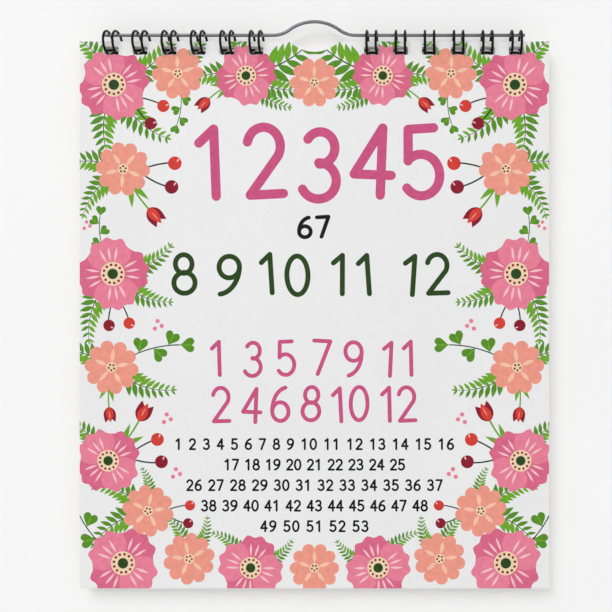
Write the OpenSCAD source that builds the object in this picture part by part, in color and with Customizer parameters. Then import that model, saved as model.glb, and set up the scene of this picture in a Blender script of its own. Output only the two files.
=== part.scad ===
// Wire-bound wall calendar: a cover, twelve month sheets and a backing board,
// threaded on two twin-loop wire combs that hang on one humped hanger wire.
// Millimetres. The origin is where a nail bears under the hump of the hanger.
// +Z is up, +Y points to the wall and the cover faces -Y.

/* [Leaves] */
// Width of the cover, the month sheets and the backing board
leaf_w = 206; // [150:1:300]
// Height of the cover, the month sheets and the backing board
leaf_h = 240; // [120:1:420]
// Thickness of the cover card
cover_t = 0.3; // [0.2:0.05:0.6]
// Thickness of one month sheet
month_t = 0.16; // [0.1:0.02:0.24]
// Thickness of the backing board
board_t = 0.6; // [0.4:0.1:1.2]
// Air between neighbouring leaves
leaf_gap = 0.04; // [0.02:0.01:0.08]
// Height of the leaves' top edge over the middle of the loops
top_edge_rise = 0.15; // [0.1:0.05:0.8]

/* [Thumb notch] */
// Width of the notch at the top edge
notch_w = 23.6; // [16:0.2:30]
// Depth of the notch
notch_depth = 4.5; // [3:0.1:8]
// Radius of the notch's rounded shoulders
shoulder_r = 2.5; // [1:0.1:4]

/* [Wire combs] */
// Distance from loop to loop
loop_pitch = 12.7; // [11:0.1:16]
// Place of the innermost loop, counted in pitches from the middle
first_loop = 2; // [2:1:4]
// Least distance from the outermost loop to the leaf's side edge
edge_margin = 12; // [8:1:30]
// Radius of a loop at the middle of its wire
loop_r = 5; // [4.7:0.1:6.5]
// Thickness of the comb wire
wire_d = 1.1; // [0.8:0.1:1.3]
// Distance between the two wires of a loop
twin_gap = 4; // [3.6:0.1:6]
// Sideways lean of the loops in degrees
loop_lean = 10; // [0:1:12]
// Bend radius at both ends of a loop
bend_r = 1.2; // [0.9:0.1:1.3]
// Straight wire before each of those bends
bend_lead = 0.3; // [0.1:0.1:0.6]
// Length of the seam that stays open between a loop's two ends
seam_length = 4.6; // [4.4:0.1:6]
// Place of a loop's end bend, in degrees round the loop from its lowest point to the back
tip_angle = 43; // [36:1:46]
// Air round the wire in the punched holes, over the whole turn of a leaf
hole_play = 0.15; // [0.1:0.05:0.4]
// Corner radius of the punched holes
hole_corner_r = 0.8; // [0.3:0.1:1.2]

/* [Hanger] */
// Thickness of the hanger wire
hanger_d = 1.4; // [1.2:0.1:2]
// Length of hanger past the middle of the outermost loop
hanger_overhang = 4; // [3:0.1:12]
// Width of the hump between its feet
hump_w = 36.4; // [30:0.2:40]
// Height of the hump over the straight wire
hump_rise = 6; // [4:0.1:8]
// Bend radius at the top of the hump
crown_r = 18.5; // [12:0.5:22]
// Distance of the hanger behind the middle of the loops
hanger_back = 0.4; // [0.2:0.1:1.2]
// Air between the hanger and the loops that hang on it
hanger_play = 0.08; // [0.05:0.01:0.3]

/* [Turning leaves] */
// Height of the turning axis over the top edge of the leaves
hinge_rise = 0.15; // [0.1:0.05:0.4]
// Air between a fully raised cover and the hanger
raise_play = 0.28; // [0.2:0.02:0.5]

/* [Hidden] */
months = 12;
up = [0, 0, 1];
right = [1, 0, 0];
wire_sides = 24;
loop_sides = 72;
arc_sides = 48;
wire_r = wire_d / 2;
hanger_r = hanger_d / 2;
// Straight wire is a little slimmer than bent wire, and each run ends inside its neighbour
run_share = 0.98;
run_in = 0.1;
// Arcs that only touch leave slivers, so the notch's arc runs into its shoulders by this much
arc_cross = 0.004;

// Hanger line, the loops that hang on it and the leaves' top edge
hanger_z = hanger_r - hump_rise;
loop_y = -hanger_back;
hang_reach = loop_r - wire_r - hanger_r - hanger_play;
loop_z = hanger_z - sqrt(hang_reach * hang_reach - hanger_back * hanger_back);
leaf_top = loop_z + top_edge_rise;

// Loops from the middle outwards, as many as the leaf's width takes
last_loop = max(first_loop, floor((leaf_w / 2 - edge_margin) / loop_pitch));
loop_places = [for (i = [first_loop : last_loop]) i * loop_pitch];
hanger_l = 2 * (last_loop * loop_pitch + hanger_overhang);

// Leaves from front to back: cover, month sheets, backing board
stack_t = cover_t + months * (leaf_gap + month_t) + leaf_gap + board_t;
cover_y = loop_y - stack_t / 2;
board_y = loop_y + stack_t / 2 - board_t;
function month_y(m) = cover_y + cover_t + leaf_gap + (m - 1) * (month_t + leaf_gap);

// Turning axis of the leaves, far enough forward for a raised leaf to clear the hanger
hinge_y = (cover_y - hanger_r - raise_play) / 2;
hinge_z = leaf_top + hinge_rise;

// Loop wire as an angle round the loop: 0 at the bottom, 90 at the back, 180 on top
loop_back = [sin(loop_lean), cos(loop_lean), 0];
function loop_point(a) = [0, loop_y, loop_z] + loop_r * (sin(a) * loop_back - cos(a) * up);
function loop_heading(a) = cos(a) * loop_back + sin(a) * up;

// Both ends of a loop at its back: the bend at its tip, and the spine past the open seam
bend_reach = bend_r * tan(45 + loop_lean / 2) + bend_lead;
spine_angle = tip_angle + seam_length / loop_r * 180 / PI;
loop_sweep = 360 + tip_angle - spine_angle;

// Distance along a turning leaf from the axis to the near side of the wire in its hole
function wire_near(y, turn) =
    let (
        from_axis = [loop_y - hinge_y, loop_z - hinge_z],
        across = y - hinge_y - from_axis * [cos(turn), -sin(turn)],
        along = from_axis * [-sin(turn), -cos(turn)],
        half_chord = sqrt(loop_r * loop_r - across * across)
    )
    along + half_chord - wire_r * loop_r / half_chord;
leaf_faces = [cover_y, month_y(1), month_y(months) + month_t];
least_near = min([for (turn = [0 : 5 : 180]) for (y = leaf_faces) wire_near(y, turn)]);
hole_top = least_near - hinge_rise - hole_play;
hole_bottom = top_edge_rise + loop_r + wire_r + hole_play;
hole_left = -(twin_gap / 2 + wire_r + loop_r * sin(loop_lean) + hole_play);
hole_right = twin_gap / 2 + wire_r + stack_t / 2 * tan(loop_lean) + hole_play;

// Hump of the hanger: a crown arc between two foot arcs that turn by the same angle
hump_turn = 2 * atan(2 * hump_rise / hump_w);
foot_r = hump_w / 2 / sin(hump_turn) - crown_r;

// Rounded corner of the comb wire at c, on its way from p to q
function unit(v) = v / norm(v);
function corner_turn(p, c, q) = acos(unit(c - p) * unit(q - c));
function corner_start(p, c, q) = c - bend_r * tan(corner_turn(p, c, q) / 2) * unit(c - p);
function corner_inward(p, c, q) = unit(cross(cross(c - p, q - c), c - p));
function corner_points(p, c, q) =
    [
        for (a = [0 : 5 : corner_turn(p, c, q)])
            corner_start(p, c, q)
                + bend_r * ((1 - cos(a)) * corner_inward(p, c, q) + sin(a) * unit(c - p))
    ];

// Least air between a loop's bend and the spine beside it, measured on the wire's middle line
function turn_points(p, q, heading) =
    let (
        c1 = p + bend_reach * heading,
        c2 = q + bend_reach * heading
    )
    concat(corner_points(p, c1, c2), corner_points(q, c2, c1));
half_twin = twin_gap / 2 * right;
link = (loop_pitch - twin_gap) * right;
tip = loop_point(tip_angle);
tip_heading = loop_heading(tip_angle);
spine = loop_point(spine_angle);
spine_heading = -loop_heading(spine_angle);
tip_line = turn_points(tip - half_twin, tip + half_twin, tip_heading);
spine_line = concat(
    turn_points(spine + half_twin, spine + half_twin + link, spine_heading),
    turn_points(spine - half_twin - link, spine - half_twin, spine_heading)
);
seam_air = min([for (p = tip_line) for (q = spine_line) norm(p - q)]) - wire_d;
echo(seam_air = seam_air, hinge_y = hinge_y, hinge_z = hinge_z, hanger_z = hanger_z);
echo(leaf_top = leaf_top, stack_t = stack_t, hanger_l = hanger_l);

// Placing matrix from an origin and two axes at right angles
function placed(origin, x, y) =
    let (z = cross(x, y))
    [
        [x[0], y[0], z[0], origin[0]],
        [x[1], y[1], z[1], origin[1]],
        [x[2], y[2], z[2], origin[2]],
        [0, 0, 0, 1]
    ];

// Straight wire from p to q, which runs on into the bends that it joins
module rod(p, q, d, in_p = run_in, in_q = run_in) {
    along = unit(q - p);
    x = unit(cross(abs(along[2]) < 0.9 ? up : right, along));
    multmatrix(placed(p - in_p * along, x, cross(along, x)))
        cylinder(h = norm(q - p) + in_p + in_q, d = d * run_share, $fn = wire_sides);
}

// Bent wire: an arc of radius r from the direction x of its middle towards the direction y
module bent_rod(middle, x, y, r, turn, d, sides = arc_sides) {
    multmatrix(placed(middle, x, y))
        rotate_extrude(angle = turn, $fn = sides)
            translate([r, 0])
                circle(d = d, $fn = wire_sides);
}

// Corner of the comb wire at c, and the straight wire from p that leads into it
module led_corner(p, c, q) {
    start = corner_start(p, c, q);
    inward = corner_inward(p, c, q);
    rod(p, start, wire_d);
    bent_rod(start + bend_r * inward, -inward, unit(c - p), bend_r, corner_turn(p, c, q), wire_d);
}

// Wire that turns back from p to q, both heading the same way
module hairpin(p, q, heading) {
    c1 = p + bend_reach * heading;
    c2 = q + bend_reach * heading;
    led_corner(p, c1, c2);
    led_corner(q, c2, c1);
    rod(corner_start(c2, c1, p), corner_start(c1, c2, q), wire_d);
}

// Half of a spine link, cut off where the comb ends
module cut_end(p, heading, side) {
    c = p + bend_reach * heading;
    end = c + side * link / 2;
    led_corner(p, c, end);
    rod(corner_start(end, c, p), end, wire_d, in_q = 0);
}

// One wire of a loop, from the spine round the top to its tip
module loop_wire(x) {
    bent_rod(
        [x, loop_y, loop_z],
        sin(spine_angle) * loop_back - cos(spine_angle) * up,
        loop_heading(spine_angle),
        loop_r,
        loop_sweep,
        wire_d,
        loop_sides
    );
}

// One comb: a single wire that makes every loop and the spine behind the board
module wire_comb(places) {
    last = len(places) - 1;
    for (x = places) {
        loop_wire(x - twin_gap / 2);
        loop_wire(x + twin_gap / 2);
        hairpin(tip + x * right - half_twin, tip + x * right + half_twin, tip_heading);
    }
    if (last > 0)
        for (i = [0 : last - 1])
            hairpin(
                spine + places[i] * right + half_twin,
                spine + places[i + 1] * right - half_twin,
                spine_heading
            );
    cut_end(spine + places[0] * right - half_twin, spine_heading, -1);
    cut_end(spine + places[last] * right + half_twin, spine_heading, 1);
}

// Punched hole for one loop, as an outline about the loop's middle
module hole_outline() {
    w = hole_right - hole_left;
    h = hole_bottom - hole_top;
    r = hole_corner_r;
    translate([hole_left, -hole_bottom]) {
        translate([r, 0]) square([w - 2 * r, h]);
        translate([0, r]) square([w, h - 2 * r]);
        for (x = [r, w - r])
            for (y = [r, h - r])
                translate([x, y]) circle(r = r, $fn = wire_sides);
    }
}

// Thumb notch in the top edge: one arc with rounded shoulders
module notch_outline() {
    half_w = notch_w / 2;
    centre_up = (half_w * half_w + notch_depth * notch_depth) / (2 * notch_depth);
    notch_r = centre_up - shoulder_r;
    notch_up = notch_r - notch_depth;
    clear = notch_up + shoulder_r;
    difference() {
        union() {
            translate([0, notch_up]) circle(r = notch_r + arc_cross, $fn = loop_sides);
            polygon([
                [half_w, -shoulder_r], [half_w, clear], [-half_w, clear],
                [-half_w, -shoulder_r], [0, notch_up]
            ]);
        }
        for (side = [-1, 1])
            translate([side * half_w, -shoulder_r]) circle(r = shoulder_r, $fn = arc_sides);
    }
}

// Outline that all leaves share, with its top edge at zero
module leaf_outline() {
    difference() {
        translate([-leaf_w / 2, -leaf_h]) square([leaf_w, leaf_h]);
        for (x = loop_places)
            for (side = [-1, 1])
                translate([side * x, 0]) hole_outline();
        notch_outline();
    }
}

// One leaf with its front face at y
module leaf(y, t) {
    translate([0, y + t, leaf_top])
        rotate([90, 0, 0])
            linear_extrude(t)
                leaf_outline();
}

module front_cover() {
    color("mistyrose") leaf(cover_y, cover_t);
}

module month_sheet(m) {
    color("ivory") leaf(month_y(m), month_t);
}

module backing_board() {
    color("tan") leaf(board_y, board_t);
}

module left_wire_comb() {
    color("black") wire_comb([for (i = [len(loop_places) - 1 : -1 : 0]) -loop_places[i]]);
}

module right_wire_comb() {
    color("black") wire_comb(loop_places);
}

module hanger_wire() {
    half = hump_w / 2;
    crown_turn = hump_turn + run_in / crown_r * 180 / PI;
    color("silver") {
        for (side = [-1, 1])
            rod([side * hanger_l / 2, 0, hanger_z], [side * half, 0, hanger_z], hanger_d, in_p = 0);
        bent_rod([-half, 0, hanger_z + foot_r], -up, right, foot_r, hump_turn, hanger_d);
        bent_rod(
            [0, 0, hanger_z + hump_rise - crown_r],
            [-sin(crown_turn), 0, cos(crown_turn)],
            [cos(crown_turn), 0, sin(crown_turn)],
            crown_r,
            2 * crown_turn,
            hanger_d * run_share
        );
        bent_rod(
            [half, 0, hanger_z + foot_r],
            [-sin(hump_turn), 0, -cos(hump_turn)],
            [cos(hump_turn), 0, -sin(hump_turn)],
            foot_r,
            hump_turn,
            hanger_d
        );
    }
}

front_cover();
month_sheet(1);  // month_sheet_01
month_sheet(2);  // month_sheet_02
month_sheet(3);  // month_sheet_03
month_sheet(4);  // month_sheet_04
month_sheet(5);  // month_sheet_05
month_sheet(6);  // month_sheet_06
month_sheet(7);  // month_sheet_07
month_sheet(8);  // month_sheet_08
month_sheet(9);  // month_sheet_09
month_sheet(10);  // month_sheet_10
month_sheet(11);  // month_sheet_11
month_sheet(12);  // month_sheet_12
backing_board();
left_wire_comb();
right_wire_comb();
hanger_wire();
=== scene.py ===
# %% [markdown]
# # Dressing a wire-bound wall calendar
# The measured model already holds every leaf and wire at its real size. This lesson keeps it as a
# fixed frame, draws the wires as smooth tubes, prints the leaves and lights the whole for a picture.
# The frame is loaded first, because every later piece takes its place from it.

# %% Load the frame
import bpy
import numpy as np
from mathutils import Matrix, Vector
from mathutils.geometry import delaunay_2d_cdt


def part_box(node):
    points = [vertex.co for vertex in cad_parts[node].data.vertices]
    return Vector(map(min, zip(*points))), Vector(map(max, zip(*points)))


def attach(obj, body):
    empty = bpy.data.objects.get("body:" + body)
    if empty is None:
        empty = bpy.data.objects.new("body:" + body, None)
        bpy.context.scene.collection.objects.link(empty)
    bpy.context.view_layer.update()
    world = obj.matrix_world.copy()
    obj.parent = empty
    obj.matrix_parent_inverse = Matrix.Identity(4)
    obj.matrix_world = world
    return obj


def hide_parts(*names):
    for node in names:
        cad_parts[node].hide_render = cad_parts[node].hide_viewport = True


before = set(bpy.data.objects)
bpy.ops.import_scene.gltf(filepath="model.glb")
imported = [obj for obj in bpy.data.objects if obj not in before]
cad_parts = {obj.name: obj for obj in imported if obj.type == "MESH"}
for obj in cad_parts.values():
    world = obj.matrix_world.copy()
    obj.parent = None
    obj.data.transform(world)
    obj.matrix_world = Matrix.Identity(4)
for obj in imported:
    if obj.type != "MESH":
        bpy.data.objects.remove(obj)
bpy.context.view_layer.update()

MONTHS = ["%02d" % m for m in range(1, 13)]

# %% [markdown]
# Paper and wire are easier to think of in millimetres, so all shapes are worked out in them and turn
# to metres only when a mesh is made. The leaf and the stack of leaves are measured on the frame.

# %% Sizes of the leaves
MM = 0.001
leaf_low, leaf_high = [np.array(c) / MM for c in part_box("front_cover")]
LEAF_W, LEAF_H = leaf_high[0] - leaf_low[0], leaf_high[2] - leaf_low[2]
LEAF_TOP, COVER_FRONT = leaf_high[2], leaf_low[1]
BOARD_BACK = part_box("backing_board")[1][1] / MM
print("leaf %.0f x %.0f mm, stack %.2f mm" % (LEAF_W, LEAF_H, BOARD_BACK - COVER_FRONT))

# %% [markdown]
# The picture looks at the cover square on: its sides are parallel, so the camera looks straight along
# Y. The loops at both ends open sideways, and how much they do gave the camera's distance, which is
# given here as the lens. The distance then follows from the lens and from how wide the picture is at
# the cover.

# %% Camera
PICTURE, LEAF_PIXELS = 612, 469.5
LEAF_CENTRE = np.array([314.4, 314.9])
LENS, SENSOR, NEAREST = 40.0, 36.0, 0.01
mm_per_pixel = LEAF_W / LEAF_PIXELS
distance = PICTURE * mm_per_pixel * LENS / SENSOR
aside, down = (LEAF_CENTRE - PICTURE / 2) * mm_per_pixel
camera = bpy.data.objects.new("camera", bpy.data.cameras.new("camera"))
bpy.context.collection.objects.link(camera)
camera.data.lens, camera.data.sensor_width, camera.data.clip_start = LENS, SENSOR, NEAREST
camera.location = Vector((-aside, COVER_FRONT - distance, LEAF_TOP - LEAF_H / 2 + down)) * MM
camera.rotation_euler = (np.pi / 2, 0, 0)
bpy.context.scene.camera = camera
bpy.context.scene.view_settings.view_transform = "Standard"
print("camera %.0f mm before the cover" % distance)

# %% [markdown]
# Every surface here is an array of points. One helper turns such an array into a mesh with its place
# in its points, so the object itself stays at the origin, unturned and unscaled. Another gives the
# faces of a grid, which a tube needs.

# %% Mesh helpers
def mesh_piece(name, points, faces, materials, finish=None, smooth=True):
    """Object from points in millimetres times MM; finish is the material number of each face."""
    mesh = bpy.data.meshes.new(name)
    mesh.from_pydata((np.asarray(points) * MM).tolist(), [], faces)
    for material in materials:
        mesh.materials.append(material)
    if finish is not None:
        mesh.polygons.foreach_set("material_index", np.asarray(finish, dtype=np.int32))
    mesh.polygons.foreach_set("use_smooth", np.full(len(mesh.polygons), smooth))
    mesh.update()
    piece = bpy.data.objects.new(name, mesh)
    bpy.context.collection.objects.link(piece)
    return piece


def ring_faces(rings, sides):
    """Quads between ring r and ring r + 1, from side s to side s + 1, the last side joined to the first."""
    r, s = np.arange(rings - 1)[:, None] * sides, np.arange(sides)[None, :]
    n = (s + 1) % sides
    return np.stack([r + s, r + n, r + sides + n, r + sides + s], -1).reshape(-1, 4).tolist()


print("faces of a tube with 3 rings of 4:", len(ring_faces(3, 4)))

# %% [markdown]
# ## Finishes
# A printed colour is written as it looks on a screen, and Blender wants the amount of light behind it.
# A small class keeps the recipes short: each call adds one node to a Principled material, and all
# patterns are measured on the object itself, so they stay put when a leaf turns.

# %% Recipe for a finish
def light_of(r, g, b):
    """Screen colour from 0 to 255 as light: straight near black, a power of 2.4 above."""
    c = np.array([r, g, b]) / 255
    return tuple(np.where(c <= 0.04045, c / 12.92, ((c + 0.055) / 1.055) ** 2.4)) + (1.0,)


def shade(colour, share):
    """Light of a colour times share; the fourth number, how solid it is, stays 1."""
    return tuple(share * c for c in colour[:3]) + (1.0,)


def add_node(tree, kind, sources=(), **values):
    """One node in the tree with its values set and its sources linked."""
    node = tree.nodes.new("ShaderNode" + kind)
    for socket, value in values.items():
        node.inputs[socket.replace("_", " ")].default_value = value
    for socket, source in sources:
        tree.links.new(source, node.inputs[socket])
    return node


class Finish:
    """Principled material with short calls that add one node each."""

    def __init__(self, name, **sockets):
        self.material = bpy.data.materials.new(name)
        self.material.use_nodes = True
        self.nodes, self.links = self.material.node_tree.nodes, self.material.node_tree.links
        self.shader = self.nodes["Principled BSDF"]
        for socket, value in sockets.items():
            self.shader.inputs[socket.replace("_", " ")].default_value = value
        self.place = self.nodes.new("ShaderNodeTexCoord").outputs["Object"]

    def add(self, kind, sources=(), **values):
        """One node of this material."""
        return add_node(self.material.node_tree, kind, sources, **values)

    def noise(self, scale, stretch=(1, 1, 1), detail=3.0):
        """Noise of that many waves to the metre, drawn out along the axes with a small stretch."""
        mapping = self.add("Mapping", [("Vector", self.place)], Scale=stretch)
        noise = self.add("TexNoise", [("Vector", mapping.outputs[0])], Scale=scale, Detail=detail)
        return noise.outputs["Fac"]

    def ramp(self, source, low, high, start=0.3, end=0.7):
        """Colour from low to high while the source goes from start to end."""
        ramp = self.add("ValToRGB", [("Fac", source)])
        for stop, place, colour in zip(ramp.color_ramp.elements, (start, end), (low, high)):
            stop.position, stop.color = place, colour
        return ramp.outputs["Color"]

    def span(self, source, low, high):
        """Number from low to high while the source goes from 0 to 1."""
        return self.add("MapRange", [("Value", source)], To_Min=low, To_Max=high).outputs["Result"]

    def bump(self, source, strength, depth):
        """Surface raised by the source, depth in millimetres."""
        node = self.add("Bump", [("Height", source)], Strength=strength, Distance=depth * MM)
        self.feed("Normal", node.outputs["Normal"])

    def feed(self, socket, source):
        """Source into a socket of the shader."""
        self.links.new(source, self.shader.inputs[socket])


print("middle grey is %.3f of the light of white" % light_of(128, 128, 128)[0])

# %% [markdown]
# Card and paper are felted fibres: no two spots are quite the same white, and a low light shows a fine
# tooth. A stretched noise makes the fibres and a wide one a slow change of tone. The cover is heavier,
# pressed card, so it is a little smoother than the month sheets.

# %% Card and paper
FIBRES, TOOTH_STRENGTH, CARD_TOOTH, SHEET_TOOTH = (900, (1, 1, 0.35), 5.0), 0.15, 0.02, 0.03


def paper(name, white, rough, tooth):
    """White times 0.96 to 1 with the fibres, roughness rough -+ 0.06, and a tooth in millimetres."""
    f = Finish(name, Specular_IOR_Level=0.35)
    fibres, cloud = f.noise(*FIBRES), f.noise(14, detail=2.0)
    both = f.add("Math", [(0, fibres), (1, cloud)])
    both.operation = "MULTIPLY"
    f.feed("Base Color", f.ramp(both.outputs[0], shade(white, 0.96), white, 0.12, 0.36))
    f.feed("Roughness", f.span(fibres, rough - 0.06, rough + 0.06))
    f.bump(fibres, TOOTH_STRENGTH, tooth)
    return f.material


COVER_WHITE, SHEET_WHITE = light_of(236, 236, 236), light_of(240, 239, 235)
cover_card = paper("cover_card", COVER_WHITE, 0.52, CARD_TOOTH)
month_paper = paper("month_paper", SHEET_WHITE, 0.66, SHEET_TOOTH)
print("papers:", cover_card.name, month_paper.name)

# %% [markdown]
# Grey board is pressed from waste paper. Its warm grey is sprinkled with paler flecks and it stays
# rough. A fibre noise gives the pulp, and the peaks of a finer one lay the flecks over it. A Mix node has
# sockets for numbers, vectors and colours, and the named values pick those for colours.

# %% Grey board
MIX_FACTOR, MIX_FIRST, MIX_SECOND, MIX_RESULT = 0, 6, 7, 2


def pulp_board(name):
    """Two close greys mixed by a fibre noise, a pale third one where a finer noise is above 0.6."""
    f = Finish(name, Specular_IOR_Level=0.2)
    dark, pale, fleck = light_of(156, 149, 138), light_of(180, 173, 161), light_of(204, 198, 186)
    pulp = f.ramp(f.noise(620, (1, 1, 0.6), 8.0), dark, pale, 0.25, 0.75)
    flecks = f.ramp(f.noise(1300, (1, 1, 0.4), 2.0), (0, 0, 0, 1), (1, 1, 1, 1), 0.6, 0.7)
    mix = f.add("Mix")
    mix.data_type = "RGBA"
    mix.inputs[MIX_SECOND].default_value = fleck
    f.links.new(flecks, mix.inputs[MIX_FACTOR])
    f.links.new(pulp, mix.inputs[MIX_FIRST])
    f.feed("Base Color", mix.outputs[MIX_RESULT])
    fibres = f.noise(700, (1, 1, 0.4), 5.0)
    f.feed("Roughness", f.span(fibres, 0.78, 0.95))
    f.bump(fibres, 0.25, 0.04)
    return f.material


grey_board = pulp_board("grey_board")
print("board:", grey_board.name)

# %% [markdown]
# The comb wire is steel in a black nylon skin: very dark, with a gloss that breaks up a little. The
# hanger is bare drawn wire. Drawing leaves fine lines along it, so its noise is stretched along X.

# %% Wire finishes
def nylon_skin(name):
    """Near black, roughness 0.26 to 0.4 and a skin of 0.01 mm, all from one fine noise."""
    f = Finish(name, Specular_IOR_Level=0.12)
    skin = f.noise(1100)
    f.feed("Base Color", f.ramp(skin, (0.0015, 0.0015, 0.002, 1), (0.0045, 0.0045, 0.005, 1)))
    f.feed("Roughness", f.span(skin, 0.26, 0.4))
    f.bump(skin, 0.12, 0.01)
    return f.material


def drawn_steel(name):
    """Metal whose tone and roughness follow lines along the wire, 60 times finer across than along."""
    f = Finish(name, Metallic=1.0)
    lines = f.noise(1.0, (90, 5200, 5200), 4.0)
    f.feed("Base Color", f.ramp(lines, light_of(94, 95, 99), light_of(134, 135, 139)))
    f.feed("Roughness", f.span(lines, 0.26, 0.42))
    f.bump(lines, 0.1, 0.01)
    return f.material


black_wire, bright_wire = nylon_skin("black_wire"), drawn_steel("bright_wire")
print("wires:", black_wire.name, bright_wire.name)

# %% [markdown]
# ## Wires
# A tube is a circle carried along a path. The circle needs a side direction that never runs along the
# path. On a loop the direction out from the loop's middle does this all the way round, also in the
# bends at its ends, so one rule serves the whole comb and no twist can build up.

# %% Tube along a path
WIRE_SIDES, END_ROUND = 16, 0.12


def unit(v):
    """Vectors divided by their lengths."""
    return v / np.linalg.norm(v, axis=-1, keepdims=True)


def tube(name, path, out, radius, material):
    """Point = path + radius * (cos b * side + sin b * rise), where side is out made square to the path
    and rise is square to both. The end rings are drawn in, so that the cut ends are rounded."""
    along = unit(np.gradient(path, axis=0))
    path = np.concatenate([path[:1], path[:1] + END_ROUND * along[:1], path[1:-1],
                           path[-1:] - END_ROUND * along[-1:], path[-1:]])
    out, along = (np.concatenate([v[:1], v, v[-1:]]) for v in (out, along))
    side = unit(out - (out * along).sum(1, keepdims=True) * along)
    rise = np.cross(along, side)
    r = np.full((len(path), 1, 1), radius)
    r[[0, -1]] -= END_ROUND
    b = np.linspace(0, 2 * np.pi, WIRE_SIDES, endpoint=False)[None, :, None]
    points = path[:, None] + r * (np.cos(b) * side[:, None] + np.sin(b) * rise[:, None])
    first = list(range(WIRE_SIDES))
    ends = [first[::-1], [(len(path) - 1) * WIRE_SIDES + i for i in first]]
    faces = ring_faces(len(path), WIRE_SIDES) + ends
    return mesh_piece(name, points.reshape(-1, 3), faces, [material])


print("sides of a wire:", WIRE_SIDES)

# %% [markdown]
# ### Twin-loop combs
# One wire makes a whole comb: up the back, over the top, down the front, through the holes, a hairpin
# at the back, and the same way round again to the spine. A loop is an arc in a plane that leans a
# little sideways. Each bend is an arc that touches the straight runs on both sides of its corner.

# %% Path of one twin loop
LOOP_PITCH, FIRST_LOOP, LAST_LOOP = 12.7, 2, 7
LOOP_R, WIRE_R, TWIN_GAP, LEAN = 5.0, 0.55, 4.0, np.radians(10)
BEND_R, BEND_LEAD, SEAM, TIP_ANGLE, TOP_EDGE_RISE = 1.2, 0.3, 4.6, 43, 0.15
LOOP_STEPS, BEND_STEPS = 61, 10
RIGHT, UP = np.array([1.0, 0, 0]), np.array([0, 0, 1.0])
LOOP_BACK = np.array([np.sin(LEAN), np.cos(LEAN), 0])
loop_middle = np.array([0, (COVER_FRONT + BOARD_BACK) / 2, LEAF_TOP - TOP_EDGE_RISE])


def outward(a):
    """Direction from the loop's middle: sin a times back minus cos a times up, so 0 is down."""
    a = np.atleast_1d(a)[:, None]
    return np.sin(a) * LOOP_BACK - np.cos(a) * UP


def heading(a):
    """Direction of the wire there, towards larger angles: cos a times back plus sin a times up."""
    return np.cos(a) * LOOP_BACK + np.sin(a) * UP


def bend(before, corner, after):
    """Arc of radius BEND_R that touches both legs of the corner, from leg to leg."""
    d1, d2 = unit(corner - before), unit(after - corner)
    turn = np.arccos(d1 @ d2)
    inward = unit(d2 - (d2 @ d1) * d1)
    a = np.linspace(0, turn, BEND_STEPS)[:, None]
    start = corner - BEND_R * np.tan(turn / 2) * d1
    return start + BEND_R * ((1 - np.cos(a)) * inward + np.sin(a) * d1)


reach = BEND_R * np.tan(np.pi / 4 + LEAN / 2) + BEND_LEAD
tip = np.radians(TIP_ANGLE)
spine = tip + SEAM / LOOP_R
turn = np.linspace(spine, 2 * np.pi + tip, LOOP_STEPS)
arc = loop_middle + LOOP_R * outward(turn)
twin, link = TWIN_GAP / 2 * RIGHT, (LOOP_PITCH - TWIN_GAP) / 2 * RIGHT
spine_corner, tip_corner = arc[0] - reach * heading(spine), arc[-1] + reach * heading(tip)
left, right = arc - twin, arc[::-1] + twin
spine_l, spine_r = spine_corner - twin, spine_corner + twin
tip_l, tip_r = tip_corner - twin, tip_corner + twin
loop_path = np.concatenate([
    [spine_l - link], bend(spine_l - link, spine_l, left[0]), left, bend(left[-1], tip_l, tip_r),
    bend(tip_l, tip_r, right[0]), right, bend(right[-1], spine_r, spine_r + link)])
loop_out = outward(np.concatenate([
    np.full(1 + BEND_STEPS, spine), turn, np.full(2 * BEND_STEPS, tip),
    turn[::-1], np.full(BEND_STEPS, spine)]))
print("stations on one twin loop:", len(loop_path))

# %% [markdown]
# The path of one twin loop is repeated along X for each comb. It ends half a link short of where the
# next one starts, so the repeats join in a straight run and one tube takes in the whole comb.

# %% Both combs
def comb(name, places, node):
    """Path of one twin loop plus each place along X, ended half a link past the last loop."""
    path = (loop_path[None] + places[:, None, None] * RIGHT).reshape(-1, 3)
    out = np.tile(loop_out, (len(places), 1))
    end = spine_r + link + places[-1] * RIGHT
    piece = tube(name, np.vstack([path, end]), np.vstack([out, out[-1:]]), WIRE_R, black_wire)
    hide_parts(node)
    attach(piece, "binding")
    return len(piece.data.polygons)


places = LOOP_PITCH * np.arange(FIRST_LOOP, LAST_LOOP + 1)
faces = comb("left_comb", -places[::-1], "left_wire_comb") + comb("right_comb", places, "right_wire_comb")
print("combs:", 2 * len(places), "twin loops,", faces, "faces")

# %% [markdown]
# ### Hanger
# The hanger runs straight through all loops and rises in a hump over the notch. The hump is three arcs
# that meet without a kink: a foot, the crown and the other foot. Only the left half is worked out, and
# the right half is its mirror image.

# %% Hanger wire
HANGER_R, HUMP_W, HUMP_RISE, CROWN_R, OVERHANG = 0.7, 36.4, 6.0, 18.5, 4.0
FOOT_STEPS, CROWN_STEPS, RUN_STEPS = 15, 25, 40
hanger_z = HANGER_R - HUMP_RISE
hump_turn = 2 * np.arctan(2 * HUMP_RISE / HUMP_W)
foot_r = HUMP_W / 2 / np.sin(hump_turn) - CROWN_R
rise = np.linspace(0, hump_turn, FOOT_STEPS)
foot = np.stack([foot_r * np.sin(rise) - HUMP_W / 2, hanger_z + foot_r * (1 - np.cos(rise))], 1)
fall = np.linspace(-hump_turn, 0, CROWN_STEPS)[1:]
crown = np.stack([CROWN_R * np.sin(fall), HANGER_R - CROWN_R * (1 - np.cos(fall))], 1)
run = np.linspace(-(LAST_LOOP * LOOP_PITCH + OVERHANG), -HUMP_W / 2, RUN_STEPS)[:-1]
half = np.concatenate([np.stack([run, np.full(len(run), hanger_z)], 1), foot, crown])
line = np.concatenate([half, half[-2::-1] * [-1, 1]])
path = np.stack([line[:, 0], np.zeros(len(line)), line[:, 1]], 1)
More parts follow.
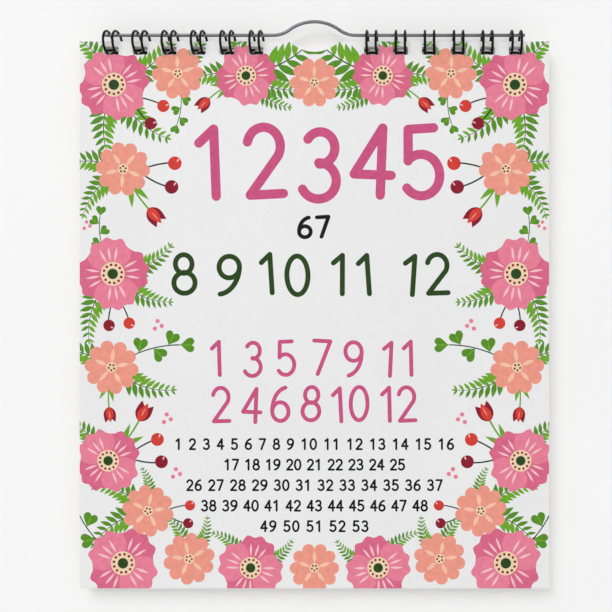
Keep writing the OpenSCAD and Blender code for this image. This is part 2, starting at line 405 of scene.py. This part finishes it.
hanger = tube("hanger", path, np.tile([0, -1.0, 0], (len(path), 1)), HANGER_R, bright_wire)
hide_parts("hanger_wire")
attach(hanger, "hanger")
print("hanger %.1f mm long, hump %.1f mm high" % (-2 * run[0], HUMP_RISE))

# %% [markdown]
# ## Printing the leaves
# A print is flat shapes of solid ink. Each outline is worked out in millimetres about its own zero, and
# then turned and moved to its place, with x across the leaf and z up from its top edge, so that the
# whole print lies below zero.

# %% Outlines
def placed(outline, at=(0, 0), angle=0.0, mirror=1):
    """Outline turned by angle degrees, moved to at, and with x times mirror."""
    a = np.radians(angle)
    c, s = np.cos(a), np.sin(a)
    return (outline @ np.array([[c, s], [-s, c]]) + np.asarray(at, float)) * [mirror, 1]


def disc(r, n=20):
    """Circle: radius r at n equal angles."""
    a = np.linspace(0, 2 * np.pi, n, endpoint=False)
    return r * np.stack([np.cos(a), np.sin(a)], 1)


def blade(length, width, belly=1.0, n=11):
    """Leaf: half the width times the sine of pi * t ** belly, for t from stalk to tip and back."""
    t = (1 - np.cos(np.linspace(0, np.pi, n))) / 2
    h = width / 2 * np.sin(np.pi * t ** belly)
    return np.concatenate([np.stack([length * t, h], 1), np.stack([length * t, -h], 1)[-2:0:-1]])


def heart(size, n=30):
    """Heart: four cosines of t along it and the cube of a sine across it, its point at zero."""
    t = np.linspace(0, 2 * np.pi, n, endpoint=False)
    u = 13 * np.cos(t) - 5 * np.cos(2 * t) - 2 * np.cos(3 * t) - np.cos(4 * t)
    return size / 29 * np.stack([u + 17, 16 * np.sin(t) ** 3], 1)


def fan(r, spread, waves=5, depth=0.05, n=25):
    """Broad petal: a sector whose rim falls by 0.42 * f ** 3.2 to both sides and waves by depth."""
    f = np.linspace(-1, 1, n)
    rim = r * (1 - 0.42 * np.abs(f) ** 3.2) * (1 + depth * np.cos(waves * np.pi * f))
    a = np.radians(spread) * f
    return np.concatenate([[[0, 0]], np.stack([rim * np.cos(a), rim * np.sin(a)], 1)])


def curve(length, turn, n=12):
    """Path of that length on one circle, which turns by turn degrees in all."""
    k = np.radians(turn) / length
    s = np.linspace(0, length, n)
    return np.stack([np.sin(k * s) / k, (1 - np.cos(k * s)) / k], 1)


def stroke(path, width, tail=1.0, caps=5):
    """Pen line: the path moved by half the width to both sides, with half circles for ends. The width
    falls evenly from 1 to tail along the path."""
    path = np.asarray(path, float)
    d = unit(np.gradient(path, axis=0))
    side = np.stack([-d[:, 1], d[:, 0]], 1)
    half = width / 2 * np.linspace(1, tail, len(path))[:, None]
    a = np.linspace(0, np.pi, caps + 2)[1:-1, None]
    end = path[-1] + half[-1] * (np.cos(a) * side[-1] + np.sin(a) * d[-1])
    start = path[0] - half[0] * (np.cos(a) * side[0] + np.sin(a) * d[0])
    return np.concatenate([path + half * side, end, (path - half * side)[::-1], start])


print("points in a heart:", len(heart(1)), "and in a petal:", len(fan(1, 62)))

# %% [markdown]
# ### Flowers
# A stock border needs a few plants that can be repeated. The open poppy has four broad petals, two
# under and two over, and the blossom has five hearts round a disc. Each plant is a list of ink and
# outline from the lowest to the topmost, about zero.

# %% Flowers
def poppy(r):
    """Four fans a quarter turn apart, three veins on each, and twelve dots round a middle."""
    out = [(ink, placed(fan(r, 62), angle=a)) for ink, a in
           (("rose", 0), ("rose", 180), ("pink", 90), ("pink", 270))]
    vein = blade(0.42 * r, 0.07 * r) + [0.36 * r, 0]
    out += [("blush", placed(vein, angle=a + b)) for a in (0, 90, 180, 270) for b in (-19, 0, 19)]
    out += [("cream", disc(0.34 * r, 28))]
    out += [("crimson", placed(disc(0.04 * r, 8) + [0.26 * r, 0], angle=30 * k)) for k in range(12)]
    return out + [("forest", disc(0.15 * r, 18))]


def blossom(r):
    """Five hearts a fifth of a turn apart on a disc, a fleck on each and five dots in the middle."""
    turns = [72 * k for k in range(5)]
    out = [("peach", disc(0.52 * r, 28))]
    out += [("peach", placed(heart(0.92 * r) + [0.08 * r, 0], angle=a)) for a in turns]
    out += [("apricot", placed(blade(0.5 * r, 0.16 * r) + [0.2 * r, 0], angle=a)) for a in turns]
    out += [("cream", disc(0.2 * r, 20))]
    return out + [("crimson", placed(disc(0.045 * r, 8) + [0.11 * r, 0], angle=a + 36)) for a in turns]


print("shapes in a poppy:", len(poppy(1)), "and in a blossom:", len(blossom(1)))

# %% [markdown]
# ### Fronds and fruit
# Between the flowers grow a tulip bud, a pair of cherries, a fern and a sprig of ivy, each on a bent
# stalk that starts at zero and heads to the right. Loose dots fill what is left.

# %% Fronds and fruit
def tulip(h):
    """Stalk of 0.62 h, two blades beside it, and three blades as a bud on its end."""
    stalk = curve(0.62 * h, 14)
    out = [("leaf", stroke(stalk, 0.035 * h))]
    out += [("leaf", placed(blade(0.5 * h, 0.11 * h, 0.8), angle=a)) for a in (20, -24)]
    out += [("crimson", placed(blade(0.42 * h, 0.2 * h, 0.8), stalk[-1], a)) for a in (32, -4)]
    out += [("red", placed(blade(0.4 * h, 0.2 * h, 0.75), stalk[-1], 14))]
    return out + [("salmon", placed(blade(0.22 * h, 0.035 * h) + [0.1 * h, 0], stalk[-1], 14))]


def cherries(h):
    """Two stalks of 0.72 h that bend apart, a disc with a shine on each, and one blade."""
    out = [("leaf", placed(blade(0.42 * h, 0.18 * h, 0.9), angle=75))]
    for turn, a, ink in ((26, -36, "crimson"), (-20, 30, "red")):
        stalk = placed(curve(0.72 * h, turn), angle=a)
        fruit = stalk[-1] + [0.1 * h, 0]
        shine = placed(blade(0.1 * h, 0.035 * h), fruit + [0.04 * h, 0.03 * h], 60)
        out += [("twig", stroke(stalk, 0.035 * h)), (ink, disc(0.15 * h, 22) + fruit), ("blush", shine)]
    return out


def fern(h, turn=40, pairs=8):
    """Pairs of blades along a bent stalk, each pair smaller than the one before by the same step."""
    stalk = curve(h, turn, 3 * pairs)
    out = [("twig", stroke(stalk, 0.022 * h, 0.4))]
    for i in range(pairs):
        size, way = 0.34 * h * (1 - 0.72 * i / pairs), turn * (i + 0.67) / pairs
        out += [(ink, placed(blade(size, 0.34 * size, 0.85), stalk[3 * i + 2], way + a))
                for ink, a in (("leaf", 52), ("moss", -52))]
    return out + [("leaf", placed(blade(0.12 * h, 0.04 * h), stalk[-1], turn))]


def ivy(h):
    """Four hearts with a rib on alternate sides of a bent stalk."""
    stalk = curve(h, -30, 16)
    out = [("twig", stroke(stalk, 0.02 * h))]
    for i, a in ((4, 50), (8, -74), (12, 34), (15, -30)):
        out += [("moss", placed(heart(0.26 * h) * [1, 0.9], stalk[i], a))]
        out += [("leaf", placed(blade(0.2 * h, 0.03 * h) + [0.03 * h, 0], stalk[i], a))]
    return out


def dots(h):
    """Three discs of 0.16 h in a triangle."""
    return [("pink", disc(0.16 * h, 12) + np.array(p) * h) for p in ((0, 0), (0.5, 0.2), (0.2, 0.55))]


print("shapes in a fern:", len(fern(1)))

# %% [markdown]
# ### Border
# The border is drawn as bunches for the left half and mirrored to the right. A bunch is a flower with
# its fronds, which start under the petals, so that no stalk ends in the open. Fronds of all bunches
# come first and flowers last. The border runs off all four edges of the sheet, as prints do. The list
# gives flower, x, z, radius and angle of each bunch, and plant, direction and size of each frond.

# %% Border
BUNCHES = [
    (poppy, -88, -19, 15.5, 30, [(fern, -60, 24), (fern, -108, 24), (cherries, -34, 18), (fern, 24, 24),
        (fern, 118, 20)]),
    (blossom, -60, -14, 11, 20, [(ivy, -80, 16), (fern, 44, 15)]),
    (poppy, -30, -15, 13, 20, [(fern, 174, 20), (tulip, -152, 18), (fern, -50, 16), (fern, -26, 20),
        (fern, 100, 18), (fern, 16, 32)]),
    (blossom, -84, -56, 11.5, 50, [(fern, 162, 20), (cherries, -6, 20), (fern, 214, 20),
        (tulip, -62, 22)]),
    (poppy, -88.5, -102, 15.5, 10, [(ivy, 112, 17), (fern, 12, 19), (fern, -40, 19), (fern, 236, 22),
        (cherries, -82, 17)]),
    (blossom, -89, -143, 11.5, 12, [(ivy, 30, 25), (fern, -36, 22), (fern, 150, 20), (tulip, 262, 17)]),
    (poppy, -90.5, -184, 14, 40, [(tulip, 48, 22), (cherries, 12, 19), (fern, 124, 18)]),
    (blossom, -73, -206, 11, 80, [(fern, 84, 12), (cherries, -4, 15), (fern, 196, 22),
        (fern, 140, 20)]),
    (poppy, -84, -229, 15.5, 50, [(ivy, 140, 25)]),
    (blossom, -55, -227, 11, 30, [(fern, 104, 14), (fern, 52, 13)]),
    (poppy, -28, -231, 14, 70, [(fern, 124, 14), (fern, 20, 13)]),
]
LOOSE = [(-101, -82, 5), (-70, -126, 6), (-66, -167, 6), (-62, -191, 6)]
UNDER_PETAL, MIDDLE_Z, MIDDLE_R = 0.6, (-18, -231), 10.5


def both_sides(plants):
    """Shapes of each plant, x, z, size and angle, on the left and mirrored to the right."""
    return [(ink, placed(outline, (x, z), angle, mirror)) for plant, x, z, size, angle in plants
            for mirror in (1, -1) for ink, outline in plant(size)]


def stalk_start(x, z, r, way):
    """Where a frond starts: UNDER_PETAL * r from its flower's middle, in the frond's own direction."""
    return placed(np.array([[UNDER_PETAL * r, 0]]), (x, z), way)[0]


fronds = [(plant, *stalk_start(x, z, r, way), size, way)
          for _, x, z, r, _, growth in BUNCHES for plant, way, size in growth]
loose = [(dots, x, z, size, 0) for x, z, size in LOOSE]
flowers = [bunch[:5] for bunch in BUNCHES]
border = both_sides(fronds + loose + flowers)
border += [(ink, placed(outline, (0, z), 90)) for z in MIDDLE_Z for ink, outline in blossom(MIDDLE_R)]
print("shapes in the border:", len(border))

# %% [markdown]
# ### Numerals
# A round brush writes the numbers. Every figure is a few pen lines in a box one high: straight lines
# and arcs of ellipses, with round ends that overlap where two lines meet.

# %% Figures
def line_of(x0, y0, x1, y1):
    """Straight pen line in three steps."""
    return np.linspace((x0, y0), (x1, y1), 4)


def arc_of(x, y, rx, ry, start, end):
    """Part of an ellipse about (x, y): rx * cos and ry * sin, angles in degrees."""
    a = np.radians(np.linspace(start, end, 24))
    return np.stack([x + rx * np.cos(a), y + ry * np.sin(a)], 1)


def ring_of(x, y, rx, ry):
    """Whole ellipse as two halves, so that no outline crosses itself."""
    return [arc_of(x, y, rx, ry, 90, 270), arc_of(x, y, rx, ry, -90, 90)]


six = ring_of(0.3, 0.28, 0.27, 0.28) + [arc_of(0.58, 0.28, 0.55, 0.72, 98, 180)]
FIGURES = {
    "0": ring_of(0.3, 0.5, 0.28, 0.5),
    "1": [line_of(0.1, 0.8, 0.34, 1), line_of(0.34, 1, 0.34, 0)],
    "2": [arc_of(0.3, 0.72, 0.26, 0.28, 165, -38), line_of(0.505, 0.55, 0.05, 0), line_of(0.05, 0, 0.57, 0)],
    "3": [arc_of(0.28, 0.76, 0.23, 0.24, 150, -90), arc_of(0.28, 0.27, 0.28, 0.27, 92, -150)],
    "4": [line_of(0.44, 1, 0.44, 0), line_of(0.44, 1, 0.02, 0.3), line_of(0.02, 0.3, 0.6, 0.3)],
    "5": [line_of(0.52, 1, 0.12, 1), line_of(0.12, 1, 0.09, 0.53), arc_of(0.28, 0.31, 0.29, 0.31, 132, -145)],
    "6": six,
    "7": [line_of(0.03, 1, 0.57, 1), line_of(0.57, 1, 0.2, 0)],
    "8": ring_of(0.3, 0.76, 0.22, 0.24) + ring_of(0.3, 0.27, 0.28, 0.27),
    "9": [np.array([0.6, 1.0]) - path for path in six],
}
print("pen lines in all figures:", sum(len(paths) for paths in FIGURES.values()))

# %% [markdown]
# A line of numbers is centred and can be set to a width. Large lines sway a little from figure to
# figure, as a hand does. The cover carries the twelve months in large figures and the weeks of a year
# in five small rows.

# %% Lines of numbers
STEP, SPACE, FIGURE_W, LIFT, TILT = 0.86, 0.5, 0.6, 0.04, 4.0


def written(text, ink, x, z, height, width=None, pen=0.12, narrow=1.0, sway=0.0):
    """Figures one step apart, centred on x with their feet at z. Width sets the length of the line, pen
    is the line's width as a share of the height, narrow squeezes the figures, sway leans and lifts them."""
    at = np.cumsum([0] + [SPACE if c == " " else STEP for c in text])[:-1]
    gain = ((width / height - FIGURE_W * narrow) / at[-1]) if width else narrow
    out = []
    for i, c in enumerate(text):
        foot = (x + height * gain * (at[i] - at[-1] / 2), z + LIFT * sway * height * np.sin(2.3 * i))
        tilt = TILT * sway * np.sin(1.7 * i + 0.6)
        for path in FIGURES.get(c, []):
            figure = (path - [FIGURE_W / 2, 0]) * [narrow * height, height]
            out += [(ink, placed(stroke(figure, pen * height), foot, tilt))]
    return out


numbers = (written("12345", "berry", 1.9, -68, 29.5, 109, 0.14, 0.95, 1)
           + written("67", "black", 0, -85.9, 8.6, None, 0.2, 1.1, 1)
           + written("8 9 10 11 12", "forest", -1.3, -110.5, 16.9, 121, 0.13, 0.98, 1)
           + written("1 3 5 7 9 11", "berry", 0, -146.4, 14.6, 92, 0.12, 0.9, 0.7)
           + written("2 4 6 8 10 12", "berry", 0, -166.6, 14.6, 89.5, 0.12, 0.9, 0.7))
ROWS = ((1, 16, 122), (17, 25, 79), (26, 37, 112), (38, 48, 99), (49, 53, 47))
FIRST_ROW, ROW_DROP, WEEK_HEIGHT = -178.9, 9.0, 4.4
for row, (first, last, width) in enumerate(ROWS):
    weeks = " ".join(str(week) for week in range(first, last + 1))
    numbers += written(weeks, "black", 0, FIRST_ROW - row * ROW_DROP, WEEK_HEIGHT, width, 0.2)
print("shapes in the numbers:", len(numbers))

# %% [markdown]
# ### One film of ink
# Shapes that overlap can't all lie in one plane, so they are resolved first: all outlines cut each
# other into triangles, and each triangle takes the ink of the topmost shape that it lies in. The holes
# and the thumb notch go in as the topmost shapes of all, and their triangles are dropped. The size of a
# hole is read from the corners of the measured cover.

# %% Holes and notch
HOLE_CORNER, HOLE_STEP, CLEAR = 0.8, 15, 0.05
NOTCH_W, NOTCH_DEPTH, SHOULDER_R, NOTCH_STEPS, ABOVE_EDGE = 23.6, 4.5, 2.5, 61, 3
cover_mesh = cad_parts["front_cover"].data
cover_points = np.empty(3 * len(cover_mesh.vertices))
cover_mesh.vertices.foreach_get("co", cover_points)
about_hole = cover_points.reshape(-1, 3) / MM - [places[0], 0, LEAF_TOP]
across, depth = np.abs(about_hole[:, 0]), -about_hole[:, 2]
rim = about_hole[(across < LOOP_PITCH / 2) & (depth > CLEAR) & (depth < 2 * LOOP_R)][:, [0, 2]]
hole_low, hole_high = rim.min(0), rim.max(0)


def hole():
    """Rectangle with round corners: a circle whose quarters are moved out to the corners."""
    a = np.radians(np.arange(0, 360, HOLE_STEP) + HOLE_STEP / 2)
    circle = np.stack([np.cos(a), np.sin(a)], 1)
    corner = np.where(circle > 0, hole_high - HOLE_CORNER, hole_low + HOLE_CORNER)
    return corner + (HOLE_CORNER + CLEAR) * circle


def notch():
    """Depth over x: an arc in the middle and a quarter circle at each shoulder, closed above the edge."""
    half = NOTCH_W / 2
    centre = (half ** 2 + NOTCH_DEPTH ** 2) / (2 * NOTCH_DEPTH)
    r = centre - SHOULDER_R
    x = np.linspace(-half, half, NOTCH_STEPS)
    low = r - NOTCH_DEPTH - np.sqrt(np.maximum(r ** 2 - x ** 2, 0))
    shoulder = np.sqrt(np.maximum(SHOULDER_R ** 2 - (half - np.abs(x)) ** 2, 0)) - SHOULDER_R
    z = np.where(np.abs(x) < half * (1 - SHOULDER_R / centre), low, shoulder) - CLEAR
    return np.concatenate([np.stack([x, z], 1), [[half, ABOVE_EDGE], [-half, ABOVE_EDGE]]])


cuts = [placed(hole(), (side * x, 0)) for x in places for side in (-1, 1)] + [notch()]
print("cut-outs:", len(cuts), "hole %.2f x %.2f mm" % tuple(hole_high - hole_low))

# %% [markdown]
# Printed ink sinks into the card a little more in one spot than in the next. Each ink is its colour
# with a slight mottle and a soft sheen, and it shows the tooth of the card below it.

# %% Inks
INK_COLOURS = {
    "rose": (217, 104, 136), "pink": (231, 128, 152), "blush": (246, 196, 202), "cream": (238, 213, 178),
    "peach": (237, 153, 135), "apricot": (247, 195, 170), "salmon": (238, 128, 112), "red": (211, 62, 52),
    "crimson": (138, 24, 44), "leaf": (108, 166, 40), "moss": (86, 142, 36), "forest": (38, 68, 24),
    "twig": (40, 60, 46), "black": (14, 14, 15), "berry": (202, 84, 130), "rule": (196, 186, 190),
}


def ink(name, colour):
    """Colour times 0.93 to 1.05 by a noise, with 0.01 of the card's white where it is thinnest;
    roughness 0.44 to 0.58."""
    f = Finish("ink_" + name, Specular_IOR_Level=0.1)
    full = light_of(*colour)
    thin = tuple(1.05 * c + 0.01 * w for c, w in zip(full[:3], COVER_WHITE)) + (1.0,)
    f.feed("Base Color", f.ramp(f.noise(420, detail=4.0), shade(full, 0.93), thin, 0.35, 0.75))
    fibres = f.noise(*FIBRES)
    f.feed("Roughness", f.span(fibres, 0.44, 0.58))
    f.bump(fibres, TOOTH_STRENGTH, CARD_TOOTH)
    return f.material


inks = {name: ink(name, colour) for name, colour in INK_COLOURS.items()}
print("inks:", len(inks))

# %% [markdown]
# The film lies a hundredth of a millimetre before its leaf, which the eye can't tell from ink in the
# paper, and stops just short of the leaf's edges. Only shapes inside the sheet are kept.

# %% Film of ink
FILM_LIFT, EDGE_INSET, HULL_TRIANGLES, MERGE = 0.012, 0.03, 0, 1e-4
ink_number = {name: i for i, name in enumerate(inks)}


def ringed(outline):
    """Outline in anticlockwise order: turned round where twice its area, from cross products, is below 0."""
    x, z = outline.T
    return outline if np.sum(x * np.roll(z, -1) - np.roll(x, -1) * z) > 0 else outline[::-1]


def film(name, shapes, front, body):
    """Triangles of the topmost ink, inside the leaf and outside the cut-outs, at front - FILM_LIFT."""
    w, h = LEAF_W / 2 - EDGE_INSET, LEAF_H - EDGE_INSET
    sheet = np.array([[-w, -h], [w, -h], [w, -EDGE_INSET], [-w, -EDGE_INSET]])
    outlines = [ringed(o) for o in [sheet] + [o for _, o in shapes] + cuts]
    count = np.array([len(o) for o in outlines])
    start = np.cumsum(count) - count
    rings = [list(range(a, a + n)) for a, n in zip(start.tolist(), count.tolist())]
    corners, _, triangles, _, _, inside = delaunay_2d_cdt(
        np.concatenate(outlines).tolist(), [], rings, HULL_TRIANGLES, MERGE, True)
    top = np.array([max(f) if 0 in f else 0 for f in inside])
    keep = (top > 0) & (top <= len(shapes))
    colour = np.array([0] + [ink_number[n] for n, _ in shapes])[top[keep]]
    used, faces = np.unique(np.array(triangles)[keep], return_inverse=True)
    flat = np.array([tuple(p) for p in corners])[used]
    points = np.stack([flat[:, 0], np.full(len(flat), front - FILM_LIFT), flat[:, 1] + LEAF_TOP], 1)
    shown, colour = np.unique(colour, return_inverse=True)
    materials = [list(inks.values())[i] for i in shown]
    piece = mesh_piece(name, points, faces.reshape(-1, 3).tolist(), materials, colour, False)
    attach(piece, body)
    return len(piece.data.polygons)


print("cover film:", film("cover_print", border + numbers, COVER_FRONT, "cover"), "triangles")

# %% [markdown]
# ### Month sheets
# Behind the cover, each month has its number between two blossoms and a ruled line for each day. They
# show when leaves are turned up, so they get the same care as the cover.

# %% Month films
LINE_DROP, FIRST_LINE, LINES = 11.4, -51.0, 16
COLUMNS, LINE_FROM, LINE_TO, RULE_DROP, RULE_PEN = (-53, 45), -33, 45, 1.2, 0.28
DAY_ASIDE, DAY_DROP, DAY_HEIGHT = 6, 0.6, 4.6
DAYS = (31, 29, 31, 30, 31, 30, 31, 31, 30, 31, 30, 31)
HEAD = [(fern, -40, -23, 26, 160), (fern, -36, -17, 24, 122), (fern, -37, -29, 22, 205),
        (blossom, -33, -23, 12, 18)]
MONTH_FOOT, MONTH_HEIGHT = -33, 20


def month_shapes(month):
    """Day d is in column (d - 1) // LINES and row (d - 1) % LINES; the month's number is in the head."""
    out = []
    for day in range(1, DAYS[month - 1] + 1):
        column, row = divmod(day - 1, LINES)
        x, z = COLUMNS[column] + LINE_FROM, FIRST_LINE - row * LINE_DROP
        rule = line_of(x, z - RULE_DROP, x + LINE_TO - LINE_FROM, z - RULE_DROP)
        number_ink = "berry" if row % 2 else "forest"
        out += [("rule", stroke(rule, RULE_PEN))]
        out += written(str(day), number_ink, x - DAY_ASIDE, z - DAY_DROP, DAY_HEIGHT, None, 0.15)
    out += both_sides(HEAD)
    return out + written(str(month), "berry", 0, MONTH_FOOT, MONTH_HEIGHT, None, 0.13)


triangles = 0
for m in MONTHS:
    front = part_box("month_sheet_" + m)[0][1] / MM
    triangles += film("month_print_" + m, month_shapes(int(m)), front, "month_" + m)
print("month films:", triangles, "triangles")

# %% [markdown]
# ## Leaves
# The measured leaves have the right shapes, so they stay as they are and only take the finishes from
# above.

# %% Finishes of the leaves
LEAF_FINISH = {"front_cover": cover_card, "backing_board": grey_board}
LEAF_FINISH.update({"month_sheet_" + m: month_paper for m in MONTHS})
for node, material in LEAF_FINISH.items():
    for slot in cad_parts[node].material_slots:
        slot.material = material
print("finished leaves:", len(LEAF_FINISH))

# %% [markdown]
# ## Wall, floor and light
# The calendar hangs on a pale wall just behind the loops, which catches its soft shadow. The wall lets
# the eye through from behind, so that the back of the calendar can be looked at too.

# %% Wall and floor
WALL_GAP, WALL_HALF, WALL_TOP, FLOOR_Z, FLOOR_DEEP = 0.2, 1400, 1100, -1500, 1800


def matte_paint(name, white):
    """White times 0.985 to 1 with a slow noise."""
    f = Finish(name, Roughness=0.85, Specular_IOR_Level=0.1)
    f.feed("Base Color", f.ramp(f.noise(9, detail=2.0), shade(white, 0.985), white))
    return f


paint = matte_paint("wall_paint", light_of(249, 249, 249))
clear = paint.add("BsdfTransparent")
through = paint.add("Math", [(0, paint.add("NewGeometry").outputs["Backfacing"]),
                             (1, paint.add("LightPath").outputs["Is Shadow Ray"])])
through.operation = "MAXIMUM"
mixed = paint.add("MixShader", [(0, through.outputs[0]), (1, paint.shader.outputs[0]), (2, clear.outputs[0])])
paint.links.new(mixed.outputs[0], paint.nodes["Material Output"].inputs["Surface"])
wall_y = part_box("left_wire_comb")[1][1] / MM + WALL_GAP
wall_foot = [[-WALL_HALF, wall_y, FLOOR_Z], [WALL_HALF, wall_y, FLOOR_Z]]
wall_head = [[WALL_HALF, wall_y, WALL_TOP], [-WALL_HALF, wall_y, WALL_TOP]]
floor_front = [[-WALL_HALF, -FLOOR_DEEP, FLOOR_Z], [WALL_HALF, -FLOOR_DEEP, FLOOR_Z]]
floor_paint = matte_paint("floor_paint", light_of(238, 238, 238))
wall = mesh_piece("wall", wall_foot + wall_head, [[0, 1, 2, 3]], [paint.material])
floor = mesh_piece("floor", floor_front + wall_foot[::-1], [[0, 1, 2, 3]], [floor_paint.material])
print("wall %.1f mm behind the board" % (wall_y - BOARD_BACK))

# %% [markdown]
# Three soft boxes add to the light of the room: a main one from the upper left, a weak one beside the
# camera that keeps the cover even, and one behind for the back of the calendar.

# %% Lamps
def soft_box(name, place, size, power):
    """Square area lamp at place, in metres, aimed at the middle of the leaf."""
    lamp = bpy.data.objects.new(name, bpy.data.lights.new(name, "AREA"))
    bpy.context.collection.objects.link(lamp)
    lamp.data.size, lamp.data.energy, lamp.location = size, power, place
    aim = Vector((0, 0, (LEAF_TOP - LEAF_H / 2) * MM)) - lamp.location
    lamp.rotation_euler = aim.to_track_quat("-Z", "Y").to_euler()


soft_box("main_light", (-1.3, -2.3, 1.9), 1.8, 43.5)
soft_box("front_light", (0.2, -2.4, 0.1), 1.1, 6.3)
soft_box("back_light", (0.5, 1.3, 0.7), 1.0, 20.0)
print("lamps:", len(bpy.data.lights))

# %% [markdown]
# The room around is pale above and greyer below, which gives the round wires a light and a dark side.
# It gives about half of the light, so that the wall darkens softly along all edges of the leaf. The eye
# and the shiny wires see it as it is, and as a light on everything else it is turned down.

# %% Room
ROOM_UP, ROOM_DOWN, ROOM_LIGHT = (0.96, 0.96, 0.96, 1), (0.5, 0.5, 0.5, 1), 0.72
GRADE_FROM, GRADE_TO = -0.6, 0.4
room = bpy.data.worlds.new("room")
bpy.context.scene.world = room
room.use_nodes = True
nodes, links = room.node_tree.nodes, room.node_tree.links


def node_of(kind, *sources, **values):
    """One node of the room, its first inputs linked to the sources in order."""
    return add_node(room.node_tree, kind, enumerate(sources), **values)


height = node_of("SeparateXYZ", node_of("TexCoord").outputs["Generated"]).outputs["Z"]
graded = node_of("MapRange", height, From_Min=GRADE_FROM, From_Max=GRADE_TO)
grade = node_of("ValToRGB", graded.outputs[0])
grade.color_ramp.elements[0].color, grade.color_ramp.elements[1].color = ROOM_DOWN, ROOM_UP
rays = node_of("LightPath").outputs
seen = node_of("Math", rays["Is Camera Ray"], rays["Is Glossy Ray"])
seen_or_through = node_of("Math", seen.outputs[0], rays["Is Transmission Ray"])
seen.operation = seen_or_through.operation = "MAXIMUM"
level = node_of("MapRange", seen_or_through.outputs[0], To_Min=ROOM_LIGHT, To_Max=1.0)
links.new(grade.outputs["Color"], nodes["Background"].inputs["Color"])
links.new(level.outputs[0], nodes["Background"].inputs["Strength"])
print("room nodes:", len(nodes))
